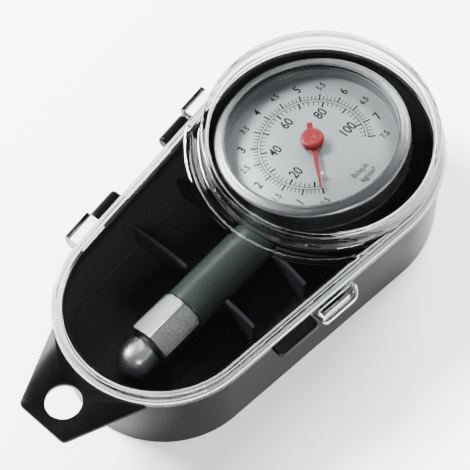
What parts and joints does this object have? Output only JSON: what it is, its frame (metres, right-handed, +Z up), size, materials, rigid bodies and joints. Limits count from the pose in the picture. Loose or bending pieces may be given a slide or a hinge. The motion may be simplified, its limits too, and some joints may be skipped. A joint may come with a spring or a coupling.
{
  "type": "tyre pressure gauge in a case",
  "caption": "Round dial tyre pressure gauge with a ball-nosed chuck on a straight stem, lying in a black hinged case with a domed clear lid and a hang tab.",
  "frame": {"origin": "on the case's flat underside, below the centre of the round end that holds the gauge head", "axes": "+Z up out of the case, -Y along the stem towards the hang tab, -X to the hinge side and +X to the latch side"},
  "size_m": [0.0725, 0.1378, 0.036],
  "materials": {
    "case_tray": "moulded, fine matt grain outside, smooth inside",
    "clear_lid": "clear moulded styrene, polished",
    "gauge_shell": "moulded satin",
    "bezel_ring": "satin plated",
    "window": "clear",
    "window_gasket": "matt",
    "dial_plate": "silver-grey paint with printed scales",
    "stop_pin": "bright",
    "pointer": "red paint",
    "pointer_cap": "red gloss paint",
    "pointer_collar": "dark",
    "pinion_arbor": "cut",
    "hairspring": "blued",
    "sector_gear": "stamped and cut",
    "sector_arbor": "turned",
    "link": "stamped",
    "tail_pin": "turned",
    "lower_plate": "stamped",
    "upper_plate": "stamped",
    "plate_pillars": "turned",
    "plate_screws": "slotted",
    "block_screws": "slotted",
    "socket_block": "milled",
    "bourdon_tube": "drawn bronze",
    "tube_tip": "milled",
    "stem_tube": "drawn",
    "stem_sleeve": "semi-gloss",
    "ferrule": "satin plated",
    "chuck_neck": "matt",
    "chuck_nose": "polished",
    "chuck_seal": "matt",
    "depressor": "turned"
  },
  "bodies": {
    "case_and_gauge": {"case_tray": "case_tray", "gauge_shell": "gauge_shell", "bezel_ring": "bezel_ring", "window": "window", "window_gasket": "window_gasket", "dial_plate": "dial_plate", "stop_pin": "stop_pin", "hairspring": "hairspring", "lower_plate": "lower_plate", "upper_plate": "upper_plate", "plate_pillars": "plate_pillars", "plate_screws": "plate_screws", "block_screws": "block_screws", "socket_block": "socket_block", "bourdon_tube": "bourdon_tube", "tube_tip": "tube_tip", "stem_tube": "stem_tube", "stem_sleeve": "stem_sleeve", "ferrule": "ferrule", "chuck_neck": "chuck_neck", "chuck_nose": "chuck_nose", "chuck_seal": "chuck_seal", "depressor": "depressor"},
    "lid": {"clear_lid": "clear_lid"},
    "sector": {"sector_gear": "sector_gear", "sector_arbor": "sector_arbor", "tail_pin": "tail_pin"},
    "pointer_train": {"pinion_arbor": "pinion_arbor", "pointer": "pointer", "pointer_cap": "pointer_cap", "pointer_collar": "pointer_collar"},
    "tip_link": {"link": "link"}
  },
  "joints": [
    {"name": "lid_hinge", "type": "hinge", "parent": "case_and_gauge", "child": "lid", "pos_m": [-0.03223, -0.03518, 0.0236], "axis": [0.085, -0.9964, 0], "range_deg": [0, 180]},
    {"name": "sector_swing", "type": "hinge", "parent": "case_and_gauge", "child": "sector", "pos_m": [-0.00165, -0.0126, 0.01947], "axis": [-0.1616, 0, 0.9869], "range_deg": [0, 45]},
    {"name": "pointer_turn", "type": "hinge", "parent": "case_and_gauge", "child": "pointer_train", "pos_m": [-0.00165, 0, 0.01947], "axis": [-0.1616, 0, 0.9869], "range_deg": [-270, 0]},
    {"name": "link_swing", "type": "hinge", "parent": "sector", "child": "tip_link", "pos_m": [-0.00354, -0.01722, 0.01916], "axis": [-0.1616, 0, 0.9869], "range_deg": [-45, 0]}
  ],
  "couplings": [
    {"joint": "pointer_turn", "follows": "sector_swing", "ratio": -6},
    {"joint": "link_swing", "follows": "sector_swing", "ratio": -1}
  ]
}
